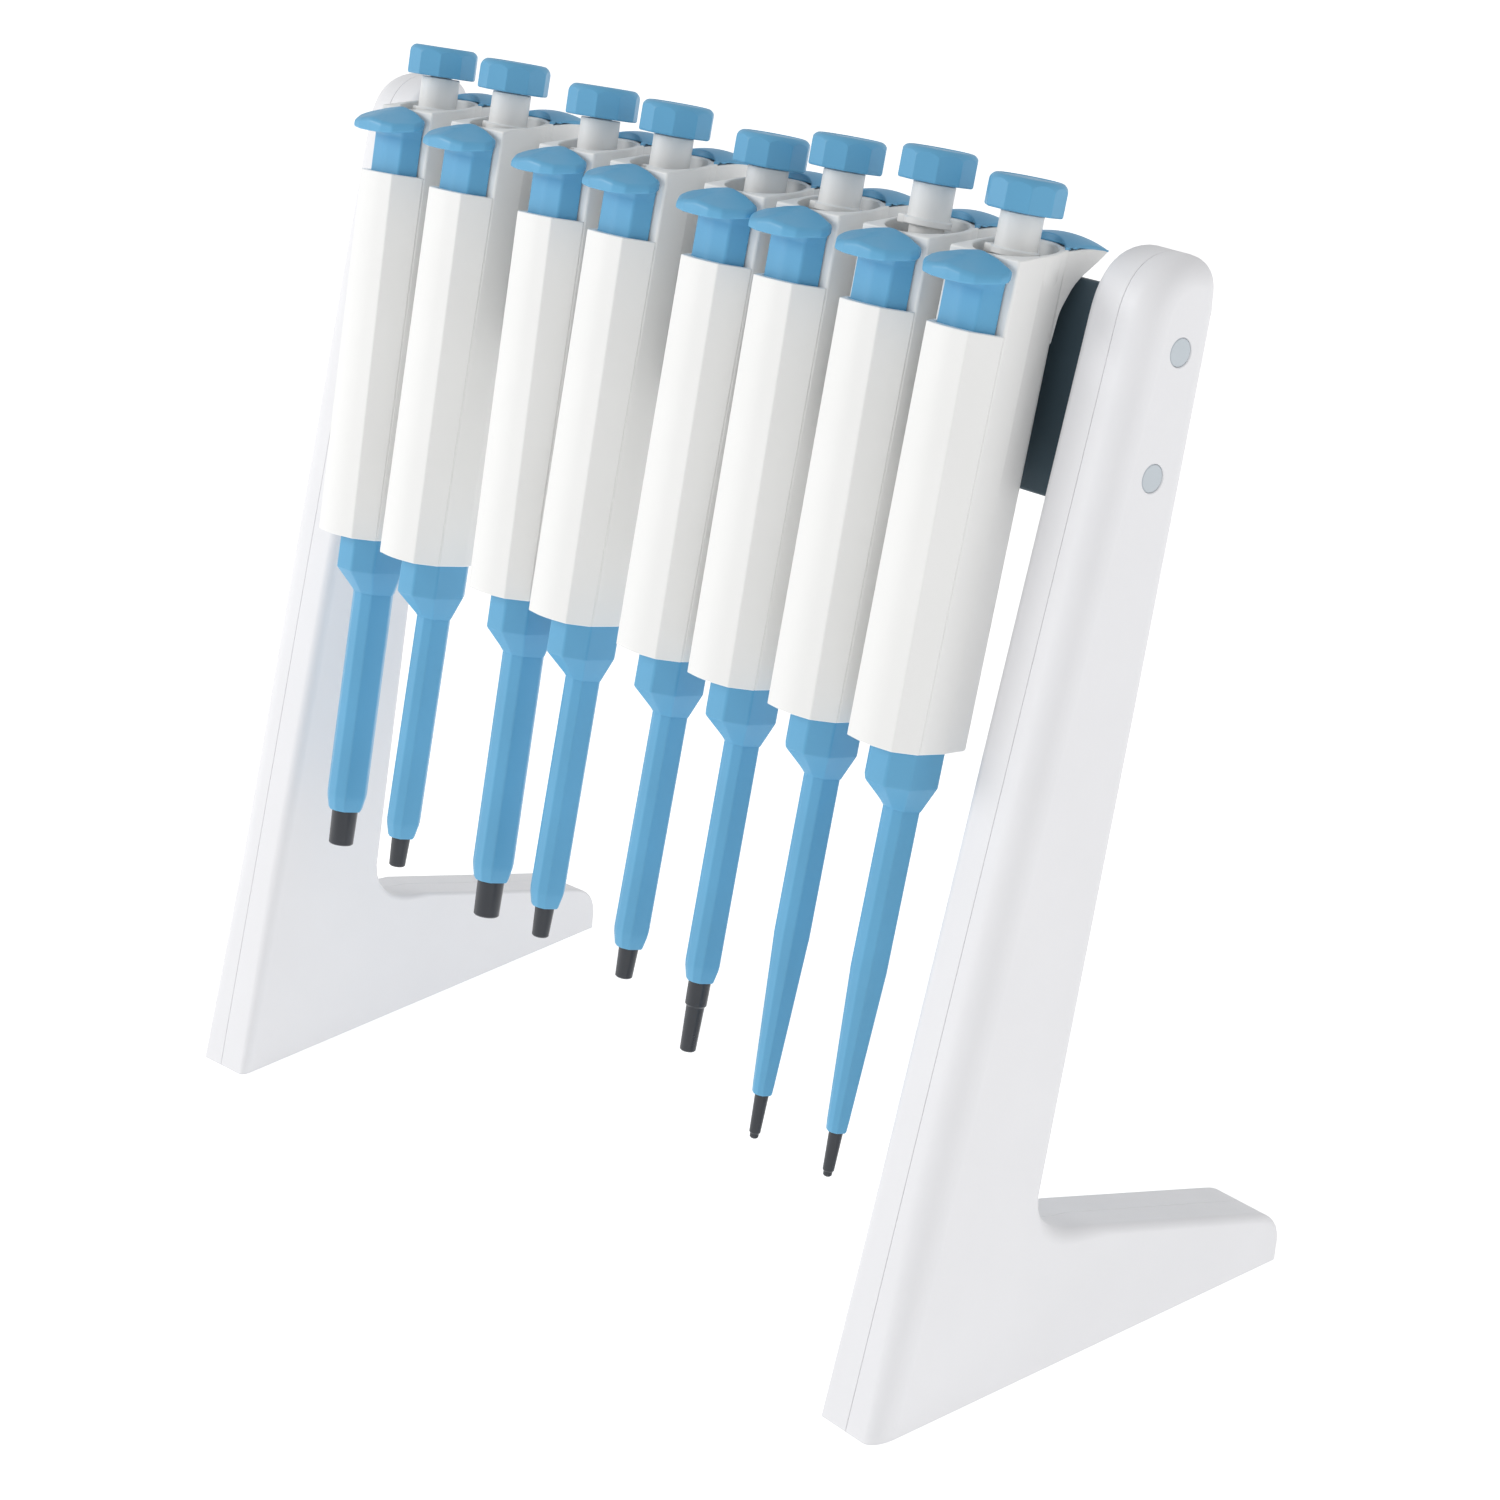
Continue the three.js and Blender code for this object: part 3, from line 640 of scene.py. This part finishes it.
def leg_shell(outer):
    """Half of a leg, from its face to the parting plane in the middle of its thickness."""
    points, radii = leg_outline()
    if not outer:
        radii = [radius * INNER_ROUND for radius in radii]
    middle = LEG_THICKNESS / 2 - LEG_SEAM / 2
    rings = []
    for angle in range(0, 91, 10):
        share = math.radians(angle)
        ring = inset(points, [radius * (1 - math.sin(share)) for radius in radii])
        depths = [radius * (1 - math.cos(share)) for radius in radii]
        depths = [(depths[k - 1] + depths[k]) / 2 for k in range(len(points))]
        rings.append([(min(depth, middle - 0.3), y, z) for (y, z), depth in zip(ring, depths)])
    bottom_free = [0 if radius == 0 else LEG_SEAM for radius in radii]
    rings.append([(middle - LEG_SEAM, y, z) for y, z in points])
    rings.append([(middle, y, z) for y, z in inset(points, bottom_free)])
    if not outer:
        rings = [[(LEG_THICKNESS - x, y, z) for x, y, z in ring] for ring in rings]
    return rings


def plug_place(height):
    y = AXIS_Y + RAIL_MIDDLE * math.cos(LEAN) + height * math.sin(LEAN)
    z = AXIS_Z - RAIL_MIDDLE * math.sin(LEAN) + height * math.cos(LEAN)
    return y, z


def disc(height, profile):
    """A piece turned about a screw's axis: profile holds (radius, depth from the leg's face)."""
    y, z = plug_place(height)
    return loft([[(depth, y + a, z + b) for a, b, _ in circle(radius, 0, 48)] for radius, depth in profile])


def side_place(side):
    """Where a leg drawn in its own frame stands; a right leg is drawn mirrored in the leg's frame."""
    turn = Matrix.Rotation(TOE_OUT * -side, 4, "Z")
    centre = (LEG_THICKNESS * math.sin(TOE_OUT) + (FOOT_LENGTH + 1) * math.cos(TOE_OUT)) / 2
    return Matrix.Translation(Vector((side * RACK_WIDTH / 2, -centre, 0)) * MM) @ turn


def flipped(mesh):
    copy = mesh.copy()
    copy.transform(Matrix.Scale(-1, 4, (1, 0, 0)))
    copy.flip_normals()
    return copy


def build_rack():
    outer = loft(leg_shell(True))
    for height in PLUG_HEIGHTS:
        pocket = disc(height, [(PLUG_RADIUS + 0.3, -1), (PLUG_RADIUS + 0.3, 0), (PLUG_RADIUS + 0.08, 0.25),
                               (PLUG_RADIUS + 0.08, 2.5)])
        outer = combined(outer, ("DIFFERENCE", pocket))
    inner = loft(leg_shell(False))
    plug = [disc(height, [(PLUG_RADIUS - 0.5, 0.12), (PLUG_RADIUS - 0.25, 0.1), (PLUG_RADIUS, 0.35),
                          (PLUG_RADIUS, 2.2)]) for height in PLUG_HEIGHTS]
    for side, name in ((-1, "left"), (1, "right")):
        place = side_place(side)
        made = [outer, inner, *plug] if side < 0 else [flipped(mesh) for mesh in (outer, inner, *plug)]
        for mesh, part, node in zip(made, ("outer_panel", "inner_panel"), ("outer_shell", "inner_shell")):
            stands_for = f"{name}_leg_{node}"
            piece(f"{name}_leg_{part}", mesh, LEG_WHITE, "stand", place, [stands_for])
        for k, mesh in enumerate(made[2:], 1):
            node = f"{name}_screw_plug_{k}"
            piece(f"{name}_plug_cap_{k}", mesh, PLUG_GREY, "stand", place, [node])
    rail_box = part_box("rail")
    half = (rail_box[1][0] - rail_box[0][0]) / 2 / MM
    outline = rounded([(16.2, -40, 0.9), (20.2, -40, 0.9), (20.2, 13.5, 0.9), (16.2, 13.5, 0.9)], 4)
    place = Matrix.Translation(Vector((0, pipette_place(1).translation.y, AXIS_Z * MM)))
    place = place @ Matrix.Rotation(-LEAN, 4, "X")
    piece("rail_bar", across(outline, half, 0.3), SLATE, "stand", place, ["rail"])


# ---- studio -------------------------------------------------------------------------------
def area_light(name, place, target, size, power, color=(1, 1, 1)):
    data = bpy.data.lights.new(name, "AREA")
    data.shape = "DISK"
    data.size = size
    data.energy = power
    data.color = color
    lamp = bpy.data.objects.new(name, data)
    bpy.context.scene.collection.objects.link(lamp)
    lamp.location = place
    lamp.rotation_euler = (Vector(target) - Vector(place)).to_track_quat("-Z", "Y").to_euler()


def build_studio():
    world = bpy.data.worlds.new("studio")
    bpy.context.scene.world = world
    world.use_nodes = True
    background = world.node_tree.nodes["Background"]
    background.inputs["Color"].default_value = (1, 1, 1, 1)
    background.inputs["Strength"].default_value = 0.66
    form = bmesh.new()
    bmesh.ops.create_grid(form, x_segments=1, y_segments=1, size=60)
    mesh = bpy.data.meshes.new("floor")
    form.to_mesh(mesh)
    form.free()
    paper = moulded("floor_paper", (0.93, 0.93, 0.93), 0.8, grain=0.004, bump=0.02, change=0.005)
    paper.node_tree.nodes["Principled BSDF"].inputs["Emission Color"].default_value = (1, 1, 1, 1)
    paper.node_tree.nodes["Principled BSDF"].inputs["Emission Strength"].default_value = 0.45
    mesh.materials.append(paper)
    floor = bpy.data.objects.new("floor", mesh)
    bpy.context.scene.collection.objects.link(floor)
    middle = (0, 0, 0.2)
    area_light("key", (-1.3, -1.4, 1.1), middle, 0.8, 14)
    area_light("rim", (1.7, 0.6, 0.7), middle, 0.8, 3)
    bpy.context.scene.view_settings.view_transform = "Standard"


def build_camera():
    data = bpy.data.cameras.new("Camera")
    data.sensor_width = 36
    data.lens = CAMERA_LENS
    data.shift_x, data.shift_y = CAMERA_SHIFT
    camera = bpy.data.objects.new("Camera", data)
    bpy.context.scene.collection.objects.link(camera)
    camera.matrix_world = (Matrix.Translation(CAMERA_PLACE)
                           @ Matrix.Rotation(math.radians(CAMERA_YAW), 4, "Z")
                           @ Matrix.Rotation(math.radians(90 - CAMERA_PITCH), 4, "X")
                           @ Matrix.Rotation(math.radians(CAMERA_ROLL), 4, "Z"))
    bpy.context.scene.camera = camera


build_camera()
build_studio()
build_rack()
build_pipettes()
